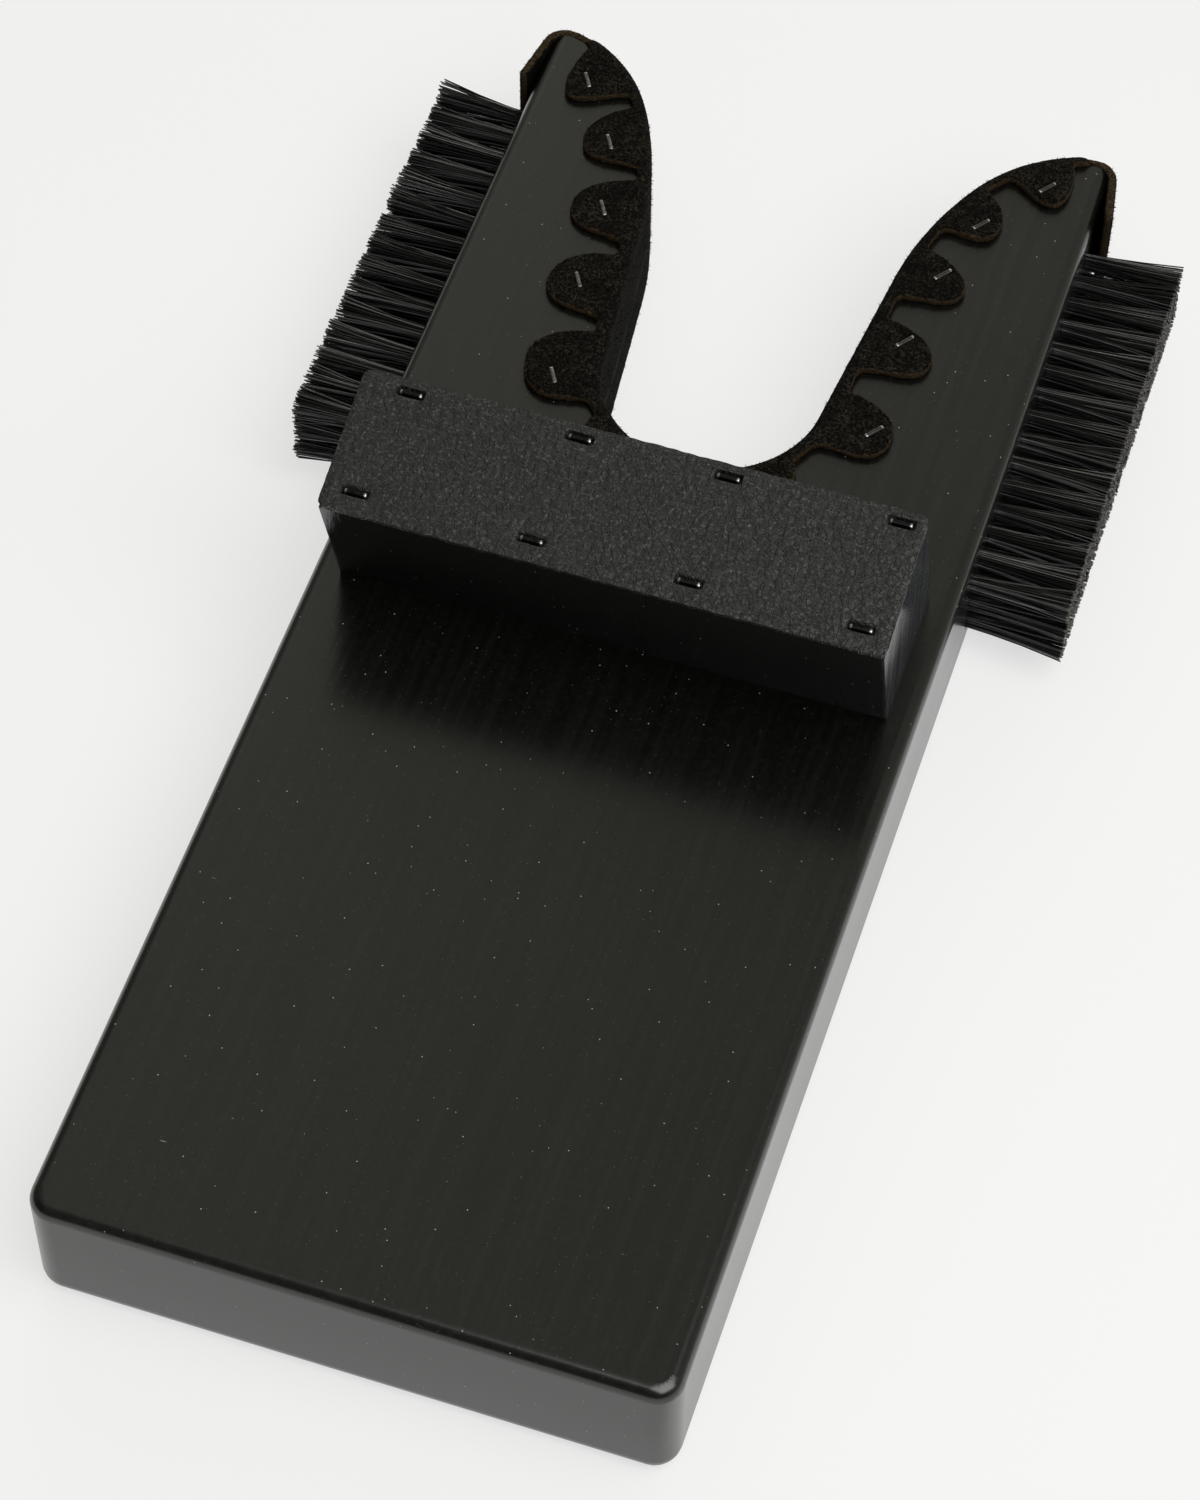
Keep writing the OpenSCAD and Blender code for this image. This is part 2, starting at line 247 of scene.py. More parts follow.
boardLook = {
    "ior": 1.75, "dark": (0.0026, 0.0026, 0.002), "light": (0.0105, 0.0103, 0.0085), "rough": 0.17,
    "grainDepth": 0.01 * mm, "grainRange": (0.35, 0.75), "grainShare": 0.4, "grainRough": 0.07,
    "filmScale": 800, "filmRange": (0.45, 0.72), "filmShare": 0.6,
    "poreDepth": 0.012 * mm, "poresFiner": 2.6, "cloudScale": 14, "cloudRough": 0.08,
    "dust": (0.6, 0.58, 0.54), "dustCell": 3 * mm, "dustSize": 0.06, "dustShare": 0.8,
    "dustRough": 0.3, "powderCell": 1.35 * mm, "faintDust": 0.5,
    "hairCell": 8 * mm, "hairSize": 0.016, "hairShare": 0.7, "hairStretch": 0.12, "hairTurn": 0.7,
}
blockLook = dict(
    boardLook, ior=1.47, rough=0.08, grainDepth=0.05 * mm, poreDepth=0.05 * mm,
    dark=(0.0004, 0.0004, 0.0004), light=(0.002, 0.002, 0.002),
    ends=(68 * mm, 69.2 * mm), endReflection=(0.056, 0.061, 0.074), endRange=(0.3, 0.65),
)
boardPaint = paintedWood("satin black paint on wood", boardLook, (420, 11, 420))
blockPaint = paintedWood("black paint on sawn wood", blockLook, (620, 620, 26))


# Staple wire is dull along the crown and bright at its shoulders: partly rubbed wire, partly a painted
# glint

wireLook = {
    "dull": (0.24, 0.235, 0.23), "rubbedGlintTone": (0.55, 0.55, 0.56), "tarnish": 0.4, "rough": 0.3,
    "stainScale": 900, "stainRange": (0.35, 0.7), "stainRough": 0.25, "rubbedGlintRange": (0.3, 0.8),
    "drawScale": 3500, "drawDepth": 0.02 * mm,
    "rightPaintedShade": 0.8, "rightPaintedShadeTone": 0.2, "rightPaintedShadeFrom": (0.0, 30 * mm),
}


def stapleWire(name, look):
    wire = Finish(name, Metallic=1.0)
    stain = wire.noise(look["stainScale"], 3)
    draw = wire.noise(look["drawScale"], 2)
    rubbedGlint = wire.make("ShaderNodeAttribute", {"attribute_name": "rubbedGlint"}, {}, 2)
    dark = [look["tarnish"] * v for v in look["dull"]]
    dull = wire.mix(stain.above(*look["stainRange"]), look["dull"], dark)
    # the right-hand staples are painted darker: painted shade for the darker surroundings they reflect
    across = wire.make("ShaderNodeSeparateXYZ", {}, {0: wire.place})
    deep = [look["rightPaintedShadeTone"] * v for v in look["dull"]]
    dull = wire.mix(across.above(*look["rightPaintedShadeFrom"]) * look["rightPaintedShade"], dull, deep)
    wire.feed("Base Color", wire.mix(rubbedGlint.above(*look["rubbedGlintRange"]), dull, look["rubbedGlintTone"]))
    wire.feed("Roughness", stain * look["stainRough"] + look["rough"])
    wire.feed("Normal", wire.bump(draw, look["drawDepth"]))
    return wire.material


padWireLook = dict(wireLook, dull=(0.035, 0.035, 0.036), rough=0.2, rightPaintedShade=0)
screwLook = dict(wireLook, dull=(0.62, 0.58, 0.48), tarnish=0.65, rough=0.24, rightPaintedShade=0)
tabWire = stapleWire("grey staple wire", wireLook)
padWire = stapleWire("black staple wire", padWireLook)
screwZinc = stapleWire("yellow zinc", screwLook)


def dress(node, material):
    piece = nodes[node]
    piece.data.materials.clear()
    piece.data.materials.append(material)


dress("board", boardPaint)
dress("fulcrum_block", blockPaint)
dress("block_screws", screwZinc)
print("wood and steel finished")


# Sizes that the new pieces share with the solids, in metres

jack = {
    "boardWidth": 152.4 * mm, "boardThick": 38.1 * mm, "rearY": -187.2 * mm,
    "blockLength": 138.2 * mm, "blockDepth": 36 * mm, "blockHeight": 39.6 * mm,
    "blockY": 186.5 * mm, "lean": math.radians(15),
}


def onBlock():
    # from the block's own axes to the part's: across, from its front face, from the board's face
    foot = Vector((0, jack["rearY"] + jack["blockY"], jack["boardThick"]))
    return Matrix.Translation(foot) @ Matrix.Rotation(jack["lean"], 4, "X")


# Staples: one is shaped from a cube and copied

stapleLook = {
    "width": 5.7 * mm, "wire": 1.25 * mm, "thick": 1.0 * mm, "leg": 12 * mm, "round": 0.42 * mm,
    "smooth": 50,
}


def makeStaple(look):
    # the crown is a bar, and its two ends are drawn down as legs
    dropSelection()
    w, d, t = look["width"], look["wire"], look["thick"]
    bpy.ops.mesh.primitive_cube_add(size=1, location=(0, 0, -t / 2))
    staple = fresh("stapleShape", (w, d, t))
    settle(staple)
    bpy.ops.object.mode_set(mode="EDIT")
    for x, way in ((-w / 2 + d, -1), (w / 2 - d, 1)):
        bpy.ops.mesh.select_all(action="SELECT")
        bpy.ops.mesh.bisect(plane_co=(x, 0, 0), plane_no=(way, 0, 0))
    selectFaces(staple, lambda f: f.normal.z < -0.9 and abs(f.center.x) > w / 2 - d)
    bpy.ops.mesh.extrude_region_move(TRANSFORM_OT_translate={"value": (0, 0, t - look["leg"])})
    bpy.ops.object.mode_set(mode="OBJECT")
    addModifier(staple, "BEVEL", width=look["round"], segments=3, limit_method="ANGLE")
    # the shoulders are marked for the wire's painted glint
    rubbedGlint = staple.data.attributes.new("rubbedGlint", "FLOAT", "POINT")
    shine = [1 - bump01((w / 2 - abs(v.co.x)) / d) for v in staple.data.vertices]
    rubbedGlint.data.foreach_set("value", shine)
    smooth(staple, look["smooth"])
    return staple


stapleShape = makeStaple(stapleLook)

padLook = {
    "thick": 2.0 * mm, "over": 0.3 * mm, "corner": 2.0 * mm, "sink": 0.3 * mm, "hidden": 1.2 * mm,
    "frontRow": [(x * mm, 5.3 * mm) for x in (-61.5, -18, 20.5, 62)],
    "backRow": [(x * mm, 33 * mm) for x in (-57, -15, 21.5, 63.5)],
    "step": 0.4 * mm, "pocket": 1.1 * mm, "pocketHalf": (2.9 * mm, 0.7 * mm), "pocketWall": 0.7 * mm,
    "dent": 0.16 * mm, "dentWide": 4 * mm, "roll": 0.25 * mm, "rollWide": 2.5 * mm,
    "wave": 0.12 * mm, "waveScale": 90, "waveStart": 3 * mm,
    "fray": 0.22 * mm, "frayWide": 0.3 * mm, "frayScale": 420, "smooth": 55,
}
padSpots = padLook["frontRow"] + padLook["backRow"]
padTop = jack["blockHeight"] + padLook["thick"]
padStaples = joined([
    placedCopy(stapleShape, onBlock() @ Matrix.Translation((x, y, padTop - padLook["sink"])))
    for x, y in padSpots
], "padStapleWires")
padStaples.data.materials.append(padWire)
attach(padStaples, "root")
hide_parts("pad_staples")


# Leather pad: a fine grid on the block's slanted top, dented round each staple, then thickened

def roundCorner(x, y, corner):
    # a point past the corner's own square is drawn in to its quarter circle
    past = Vector((max(0, abs(x) - corner.x), max(0, abs(y) - corner.y)))
    if past.x > 0 and past.y > 0:
        past *= max(past.x, past.y) / past.length
        x = math.copysign(corner.x + past.x, x)
        y = math.copysign(corner.y + past.y, y)
    return x, y


def makePad(look):
    dropSelection()
    length = jack["blockLength"] + 2 * look["over"]
    depth = jack["blockDepth"] + 2 * look["over"]
    across, deep = round(length / look["step"]), round(depth / look["step"])
    middle = jack["blockDepth"] / 2
    bpy.ops.mesh.primitive_grid_add(x_subdivisions=across, y_subdivisions=deep, size=1,
                                    location=(0, middle, padTop))
    pad = fresh("leatherPad", (length, depth, 1))
    settle(pad)
    corner = Vector((length / 2 - look["corner"], depth / 2 - look["corner"]))
    for vertex in pad.data.vertices:
        x, y = roundCorner(vertex.co.x, vertex.co.y - middle, corner)
        rim = min(length / 2 - abs(x), depth / 2 - abs(y))
        wave = noise.noise(Vector((x, y, 0)) * look["waveScale"]) * look["wave"]
        drop = look["roll"] * (1 - bump01(rim / look["rollWide"])) ** 2
        for sx, sy in padSpots:
            past = (abs(x - sx) - look["pocketHalf"][0], abs(y + middle - sy) - look["pocketHalf"][1])
            out = Vector((max(0, past[0]), max(0, past[1]))).length
            drop += look["pocket"] * (1 - bump01(out / look["pocketWall"]))
            drop += look["dent"] * (1 - bump01(out / look["dentWide"]))
        if rim < look["frayWide"]:
            edge = noise.noise(Vector((x, y, 5)) * look["frayScale"]) * look["fray"]
            x, y = (x + math.copysign(edge, x) * (abs(x) > corner.x), y + edge * (abs(y) > corner.y))
        top = padTop - drop + wave * bump01(rim / look["waveStart"])
        vertex.co = (x, y + middle, top)
    addModifier(pad, "SOLIDIFY", thickness=look["thick"] - look["sink"], offset=-1)
    # the underside lies flat on the block
    for vertex in pad.data.vertices:
        if vertex.co.z < jack["blockHeight"] + look["hidden"]:
            vertex.co.z = jack["blockHeight"]
    pad.data.transform(onBlock())
    smooth(pad, look["smooth"])
    return pad


leatherLook = {
    "dark": (0.0115, 0.0115, 0.0115), "light": (0.028, 0.028, 0.027), "speck": (0.16, 0.16, 0.155),
    "coarseScale": 350, "coarseWall": 0.07, "coarseShare": 0.55,        # scales are in cells per metre
    "smallScale": 575, "smallWall": 0.1, "smallShare": 0.45,
    "bulgeScale": 500, "bulgeRange": (0.1, 0.8), "bulgeTone": 0.4, "stirScale": 150, "stirTone": 0.6,
    "bend": 0.4 * mm, "bendScale": 300, "crease": 0.5 * mm, "pebbleHigh": 0.75, "bulgeHigh": 0.25,
    "fineScale": 1250, "fineDepth": 0.08 * mm, "gritRange": (0.56, 0.68), "gritShare": 0.7,
    "wornRange": (0.4, 0.6), "wornShare": 0.5, "rough": 0.34, "fineRough": 0.16, "wallRough": 0.1,
    "dustCell": 5 * mm, "dustSize": 0.045, "dustShare": 0.5,
}


def makeLeather(look):
    hide = Finish("pebbled black leather", IOR=1.5)
    stir = hide.noise(look["stirScale"], 3)
    # the cells lie in the pad's own plane, and their walls are bent a little
    flat = hide.scaled(1, 1, 1, (-jack["lean"], 0, 0))
    sway = hide.make("ShaderNodeTexNoise", {},
                     {"Vector": hide.place, "Scale": look["bendScale"], "Detail": 1}, 1)
    bend = hide.make("ShaderNodeVectorMath", {"operation": "MULTIPLY_ADD"},
                     {0: sway, 1: [look["bend"]] * 3, 2: flat})
    edges = "DISTANCE_TO_EDGE"
    coarse = hide.cells(look["coarseScale"], edges, bend, 0, "2D").above(0.0, look["coarseWall"])
    small = hide.cells(look["smallScale"], edges, bend, 0, "2D").above(0.0, look["smallWall"])
    pebble = coarse * look["coarseShare"] + small * look["smallShare"]
    bulge = 1 - hide.cells(look["bulgeScale"], "SMOOTH_F1", bend, 0, "2D").above(*look["bulgeRange"])
    fine = hide.noise(look["fineScale"], 3, rough=0.7)
    grit = fine.above(*look["gritRange"]) * look["gritShare"]
    paleCrease = (1 - pebble) * fine.above(*look["wornRange"]) * look["wornShare"]
    dust = hide.specks(look["dustCell"], look["dustSize"], look["dustShare"])
    lighter = bulge * look["bulgeTone"] + stir * look["stirTone"]
    tone = hide.mix(lighter, look["dark"], look["light"])
    hide.feed("Base Color", hide.mix(dust + grit + paleCrease, tone, look["speck"]))
    uneven = fine * look["fineRough"] + (1 - pebble) * look["wallRough"]
    hide.feed("Roughness", look["rough"] + uneven)
    height = pebble * look["pebbleHigh"] + bulge * look["bulgeHigh"]
    hide.feed("Normal", hide.bump(height, look["crease"], hide.bump(fine, look["fineDepth"])))
    return hide.material


pad = makePad(padLook)
pad.data.materials.append(makeLeather(leatherLook))
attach(pad, "root")
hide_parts("fulcrum_pad")
print("leather pad and its staples made")


# Lining staples: each stands where the solids have one

liningLook = {
    "thick": 2.4 * mm, "sink": 0.35 * mm, "voxel": 0.72 * mm, "soften": {"factor": 0.5, "iterations": 3},
    "dip": 0.75 * mm, "dipWide": 2.6 * mm, "dipHalf": (1.4 * mm, 0.3 * mm), "dipReach": 8 * mm,
    "skin": 0.09 * mm, "skinScale": 1500, "fray": 0.16 * mm, "frayScale": 2600,
    "cutWave": 0.12 * mm, "cutWaveScale": 500, "ripple": 0.28 * mm, "rippleScale": 110,
    "facing": 0.75, "facingDown": 0.7, "tabFrom": 0.15 * mm, "wallUpTo": 0.75 * mm,
    "lowEdge": 4 * mm, "tailX": 76.5 * mm, "overWoodFrom": -0.3 * mm, "softFrom": 1.0 * mm,
    "fibres": 9000, "fibreWide": 0.12 * mm, "fibreLong": 0.9 * mm, "fibreOut": 0.25 * mm,
    "fibreLean": 0.9, "fibreSize": (0.5, 1.3), "clear": 1.8 * mm,
}


def liningSpots():
    # the middle of each solid's crown and the turn of its long side
    freeCopy("lining_staples")
    bpy.ops.mesh.separate(type="LOOSE")
    spots = []
    for part in list(bpy.context.selected_objects):
        points = [v.co for v in part.data.vertices]
        x, y = (sum(p[k] for p in points) / len(points) for k in (0, 1))
        xx, yy, xy = (sum((p[i] - c) * (p[j] - d) for p in points)
                      for i, j, c, d in ((0, 0, x, x), (1, 1, y, y), (0, 1, x, y)))
        spots.append((x, y, math.atan2(2 * xy, xx - yy) / 2))
        forget(part)
    return sorted(spots)


tabSpots = liningSpots()
tabTop = jack["boardThick"] + liningLook["thick"]
tabStaples = joined([
    placedCopy(stapleShape, Matrix.Translation((x, y, tabTop - liningLook["sink"]))
               @ Matrix.Rotation(turn, 4, "Z"))
    for x, y, turn in tabSpots
], "liningStapleWires")
tabStaples.data.materials.append(tabWire)
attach(tabStaples, "root")
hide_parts("lining_staples")
forget(stapleShape)


# Suede lining: the solid's shape, rebuilt finely, softened, pressed in at the staples and frayed

def makeFuzz(lining, wood, look):
    # loose fibres stand on the suede wherever the wood isn't behind it
    dropSelection()
    bpy.ops.mesh.primitive_cone_add(vertices=3, radius1=look["fibreWide"], depth=look["fibreLong"],
                                    location=(0, 0, look["fibreOut"]))
    fibre = fresh("fibre")
    settle(fibre)
    rng = random.Random(3)
    fibres = []
    for vertex in rng.sample(list(lining.data.vertices), look["fibres"]):
        if wood.find_nearest(vertex.co)[3] > look["clear"]:
            lean = Vector([rng.uniform(-look["fibreLean"], look["fibreLean"]) for k in range(3)])
            turn = (vertex.normal + lean).to_track_quat("Z", "Y").to_matrix().to_4x4()
            size = Matrix.Scale(rng.uniform(*look["fibreSize"]), 4)
            fibres.append(placedCopy(fibre, Matrix.Translation(vertex.co) @ turn @ size))
    forget(fibre)
    return fibres


def isCutEdge(place, normal, overWood, look):
    # the strip's narrow edge: round the tabs, between them, along the bottom and at the free tails
    top, facing = jack["boardThick"], look["facing"]
    if overWood and abs(normal.z) < facing and place.z > top + look["tabFrom"]:
        return True
    if not overWood and normal.z > facing and place.z < top + look["wallUpTo"]:
        return True
    if normal.z < -look["facingDown"] and place.z < look["lowEdge"]:
        return True
    return normal.y < -facing and abs(place.x) > look["tailX"]


def stapleDip(place, look):
    # how far the staples pull the suede down here
    total = 0
    for x, y, turn in tabSpots:
        dx, dy = place.x - x, place.y - y
        if abs(dx) < look["dipReach"] and abs(dy) < look["dipReach"]:
            u = abs(dx * math.cos(turn) + dy * math.sin(turn)) - look["dipHalf"][0]
            v = abs(dy * math.cos(turn) - dx * math.sin(turn)) - look["dipHalf"][1]
            out = Vector((max(0, u), max(0, v))).length
            total += look["dip"] * (1 - bump01(out / look["dipWide"]))
    return total


def makeLining(look):
    lining = freeCopy("notch_lining")
    lining.data.materials.clear()
    addModifier(lining, "REMESH", mode="VOXEL", voxel_size=look["voxel"])
    addModifier(lining, "SMOOTH", **look["soften"])
    board = nodes["board"].data
    wood = BVHTree.FromPolygons([v.co for v in board.vertices], [p.vertices for p in board.polygons])
    top = jack["boardThick"]
    normals = [v.normal.copy() for v in lining.data.vertices]
    cut = []
    for vertex, normal in zip(lining.data.vertices, normals):
        place = vertex.co.copy()
        # the board is met on the way down from above a tab, and not beside the notch's wall
        under = wood.ray_cast(place + Vector((0, 0, 20 * mm)), Vector((0, 0, -1)), 50 * mm)[0]
        overWood = place.z > top + look["overWoodFrom"] and under is not None
        rim = isCutEdge(place, normal, overWood, look)
        cut.append(float(rim))
        shift = noise.noise(place * look["skinScale"]) * look["skin"]
        if rim:
            shift += noise.noise(place * look["frayScale"]) * look["fray"]
            shift += noise.noise(place * look["cutWaveScale"]) * look["cutWave"]
        vertex.co = place + normal * shift
        if overWood and place.z > top + look["softFrom"]:
            vertex.co.z += noise.noise(place * look["rippleScale"]) * look["ripple"]
            vertex.co.z -= stapleDip(place, look)
    layer = lining.data.attributes.new("cutEdge", "FLOAT", "POINT")
    layer.data.foreach_set("value", cut)
    bpy.ops.object.shade_smooth()
    return joined([lining, *makeFuzz(lining, wood, look)], "suedeLining")


suedeLook = {
    "dark": (0.003, 0.0027, 0.0022), "light": (0.062, 0.054, 0.041), "pale": (0.07, 0.064, 0.054),
    "cutDark": (0.016, 0.0105, 0.006), "cutLight": (0.1, 0.07, 0.04),
    "nap": 0.35 * mm, "napScale": 1450, "napRange": (0.44, 0.7), "napRough": 0.15, "rough": 0.82,
    "brushed": 0.4 * mm, "brushScale": 210, "brushRange": (0.35, 0.65), "unbrushed": 0.4,
    "fibreScale": (1500, 1500, 5200), "fibreRange": (0.35, 0.7), "fibreHigh": 0.5,
    "rimRange": (0.2, 0.8), "specular": 0.04, "wallTop": (30 * mm, 40 * mm), "wallPaintedShade": 0.75,
    "crease": 20 * mm, "creaseWide": 2.2 * mm, "creaseHighlight": 0.6, "creaseRange": (0.3, 0.7),
    "wander": 12 * mm, "wanderScale": 26,
}


def makeSuede(look):
    suede = Finish("charcoal suede")
    suede.shader.inputs["Specular IOR Level"].default_value = look["specular"]
    nap = suede.noise(look["napScale"], 5, rough=0.8)
    brushed = suede.noise(look["brushScale"], 3, warp=0.6)
    fibre = suede.noise(1, 3, suede.scaled(*look["fibreScale"]), 0.7)
    rim = suede.make("ShaderNodeAttribute", {"attribute_name": "cutEdge"}, {}, 2)
    # a pale line wanders along the notch's wall at its crease: a painted highlight on the fold
    wander = (suede.noise(look["wanderScale"], 3) - 0.5) * look["wander"]
    height = suede.make("ShaderNodeSeparateXYZ", {}, {0: suede.place}, 2) + wander
    wall = 1 - height.above(*look["wallTop"])
    line = 1 - (height - look["crease"]).math("ABSOLUTE").above(0.0, look["creaseWide"])
    paleCrease = line * wall * brushed.above(*look["creaseRange"]) * look["creaseHighlight"]
    raised = look["unbrushed"] + (1 - look["unbrushed"]) * brushed.above(*look["brushRange"])
    # the nap's pale specks are painted dimmer on the notch's wall: painted shade
    spark = nap.above(*look["napRange"]) * raised * (1 - wall * look["wallPaintedShade"])
    tone = suede.mix(paleCrease, suede.mix(spark, look["dark"], look["light"]), look["pale"])
    edge = suede.mix(fibre.above(*look["fibreRange"]), look["cutDark"], look["cutLight"])
    suede.feed("Base Color", suede.mix(rim.above(*look["rimRange"]), tone, edge))
    suede.feed("Roughness", look["rough"] + nap * look["napRough"])
    soft = suede.bump(brushed, look["brushed"])
    suede.feed("Normal", suede.bump(nap + fibre * rim * look["fibreHigh"], look["nap"], soft))
    return suede.material


suede = makeSuede(suedeLook)
lining = makeLining(liningLook)
lining.data.materials.append(suede)
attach(lining, "root")
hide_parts("notch_lining")
print("suede lining made:", len(lining.data.polygons), "faces")


# Brushes: a filament is bent into tufts of five kinds, and the tufts fill three rows on each side

brushLook = {
    "kinds": 5, "tufts": 15, "rows": 3, "pitch": 7.8 * mm, "rowPitch": 7.5 * mm, "startY": 236.6 * mm,
    "length": 25 * mm, "rooted": 1 * mm, "filament": 0.19 * mm, "bends": (0.28, 0.6),
    "hole": 2.1 * mm, "holeDeep": 0.9 * mm, "holeShare": 0.95, "spread": 4.1 * mm, "squash": 0.92,
    "squareness": 0.6, "perTuft": 88, "goldenTurn": 2.39996, "swirl": 0.6,
    "clumps": 9, "clumpDrift": 0.2, "clumpBelly": (0.3, 0.7),
    "looseShare": 0.06, "loose": 0.45, "held": 0.06, "spin": (0, 1.2),
    "endFrom": 0.9, "uneven": 0.1 * mm, "shortShare": 0.02, "shortBy": (0.5 * mm, 2 * mm),
    "leanY": 0.02, "leanZ": 0.035, "twist": 0.1, "smooth": 80,
}


def makeFilament(look):
    dropSelection()
    middle = (look["length"] - look["rooted"]) / 2
    bpy.ops.mesh.primitive_cylinder_add(vertices=5, radius=look["filament"],
                                        depth=look["length"] + look["rooted"],
                                        location=(middle, 0, 0), rotation=(0, math.pi / 2, 0))
    filament = fresh("filament")
    settle(filament)
    bpy.ops.object.mode_set(mode="EDIT")
    for share in look["bends"]:
        bpy.ops.mesh.select_all(action="SELECT")
        bpy.ops.mesh.bisect(plane_co=(share * look["length"], 0, 0), plane_no=(1, 0, 0))
    bpy.ops.object.mode_set(mode="OBJECT")
    return filament


def makeTuft(filament, look, rng, name):
    # the filaments fill a round hole and spread to a square, in clumps that lie side by side
    drift = look["clumpDrift"]
    clumps = [(rng.uniform(-drift, drift), rng.uniform(-drift, drift), rng.uniform(*look["clumpBelly"]))
              for k in range(look["clumps"])]
    strands = []
    for i in range(look["perTuft"]):
        radius = math.sqrt((i + 0.5) / look["perTuft"])
        angle = i * look["goldenTurn"]
        y0, z0 = radius * math.cos(angle), radius * math.sin(angle)
        sector = (angle / math.tau + look["swirl"] * radius) % 1
        driftY, driftZ, belly = clumps[int(sector * look["clumps"])]
        stray = look["loose"] if rng.random() < look["looseShare"] else look["held"]
        toSquare = max(abs(math.cos(angle)), abs(math.sin(angle))) ** look["squareness"]
        reach = look["spread"] / toSquare
        y1 = (y0 + driftY + rng.uniform(-stray, stray)) * reach
        z1 = (z0 + driftZ + rng.uniform(-stray, stray)) * reach * look["squash"]
        cutBack = rng.uniform(-look["uneven"], look["uneven"])
        cutBack -= (rng.random() < look["shortShare"]) * rng.uniform(*look["shortBy"])
        strand = placedCopy(filament, Matrix.Rotation(rng.uniform(*look["spin"]), 4, "X"))
        # each filament gets a random paleness, which the nylon uses for its painted highlight streaks
        # and its paler cut ends
        pale = strand.data.attributes.new("pale", "FLOAT", "POINT")
        pale.data.foreach_set("value", [rng.random()] * len(strand.data.vertices))
        for vertex in strand.data.vertices:
            t = max(0, vertex.co.x / look["length"])
            f = belly * t + (1 - belly) * t * t
            vertex.co.y += y0 * look["hole"] + (y1 - y0 * look["hole"]) * f
            vertex.co.z += z0 * look["hole"] + (z1 - z0 * look["hole"]) * f
            if t > look["endFrom"]:
                vertex.co.x += cutBack
        strands.append(strand)
    return joined(strands, name)


def makeBrush(look, side, tuftKinds, rng, name):
    tufts = []
    for i in range(look["tufts"]):
        for j in range(look["rows"]):
            y = jack["rearY"] + look["startY"] + (i + 0.5) * look["pitch"]
            z = jack["boardThick"] / 2 + (j - 1) * look["rowPitch"]
            lean = Matrix.Rotation(rng.uniform(-look["leanY"], look["leanY"]), 4, "Y")
            lean = lean @ Matrix.Rotation(rng.uniform(-look["leanZ"], look["leanZ"]), 4, "Z")
            turn = rng.choice((0, 1, 2, 3)) * math.pi / 2 + rng.uniform(-look["twist"], look["twist"])
            place = Matrix.Translation((jack["boardWidth"] / 2, y, z)) @ lean
            place = place @ Matrix.Rotation(turn, 4, "X")
            if side < 0:
                place = Matrix.Scale(-1, 4, (1, 0, 0)) @ place
            tufts.append(placedCopy(rng.choice(tuftKinds), place))
    piece = joined(tufts, name)
    if side < 0:
        bpy.ops.object.mode_set(mode="EDIT")
        bpy.ops.mesh.select_all(action="SELECT")
        bpy.ops.mesh.flip_normals()
        bpy.ops.object.mode_set(mode="OBJECT")
    smooth(piece, look["smooth"])
    return piece


def makeBed(look, side, name):
    # the strip of painted wood that holds the tufts, with one hole for each
    dropSelection()
    wide, tall = look["tufts"] * look["pitch"], look["rows"] * look["rowPitch"]
    middle = Vector((jack["boardWidth"] / 2, jack["rearY"] + look["startY"] + wide / 2,
                     jack["boardThick"] / 2))
    bpy.ops.mesh.primitive_grid_add(x_subdivisions=look["tufts"], y_subdivisions=look["rows"], size=1)
    bed = fresh(name, (wide, tall, 1))
    settle(bed)
    bpy.ops.object.mode_set(mode="EDIT")
    bpy.ops.mesh.select_all(action="SELECT")
    land = (look["rowPitch"] / 2 - look["hole"]) * look["holeShare"]
    bpy.ops.mesh.inset(thickness=land, use_individual=True)
    bpy.ops.mesh.extrude_region_move(TRANSFORM_OT_translate={"value": (0, 0, -look["holeDeep"])})
    bpy.ops.object.mode_set(mode="OBJECT")
    # the grid's X and Y become the board's Y and Z
    facing = Matrix(((0, 0, 1, 0), (1, 0, 0, 0), (0, 1, 0, 0), (0, 0, 0, 1)))
    bed.data.transform(Matrix.Translation(middle) @ facing)
    if side < 0:
        bed.data.transform(Matrix.Scale(-1, 4, (1, 0, 0)))
        bed.data.flip_normals()
    return bed


nylonLook = {
    "root": (0.0015, 0.0015, 0.0017), "tone": (0.06, 0.06, 0.063), "cut": (0.11, 0.1, 0.08),
    "ior": 1.45, "coatIor": 2.2, "coatRough": 0.12, "rough": 0.17, "shadeRough": 0.12, "endRough": 0.2,
    "shadeScale": (60, 2600, 2600), "shadeDepth": 0.03 * mm, "shadeLow": 0.4,
    "ends": (100.6 * mm, 101 * mm), "endRange": (0.2, 0.9), "paleRange": (0.55, 1.0),
}


def makeNylon(look):
    nylon = Finish("black nylon", IOR=look["ior"], Coat_IOR=look["coatIor"],
                   Coat_Roughness=look["coatRough"])
    shade = nylon.noise(1, 2, nylon.scaled(*look["shadeScale"]))
    reach = nylon.make("ShaderNodeSeparateXYZ", {}, {0: nylon.place}).math("ABSOLUTE")
    pale = nylon.make("ShaderNodeAttribute", {"attribute_name": "pale"}, {}, 2)
    ends = reach.above(*look["ends"]) * pale.above(*look["endRange"])
    # some filaments are painted paler in streaks: painted highlights along the bristles, with a clear
    # coat on them too
    highlightStreak = pale.above(*look["paleRange"]) * (look["shadeLow"] + shade)
    tone = nylon.mix(highlightStreak, look["root"], look["tone"])
    nylon.feed("Coat Weight", highlightStreak)
    nylon.feed("Base Color", nylon.mix(ends, tone, look["cut"]))
    uneven = shade * look["shadeRough"] + ends * look["endRough"]
    nylon.feed("Roughness", look["rough"] + uneven)
    nylon.feed("Normal", nylon.bump(shade, look["shadeDepth"]))
    return nylon.material


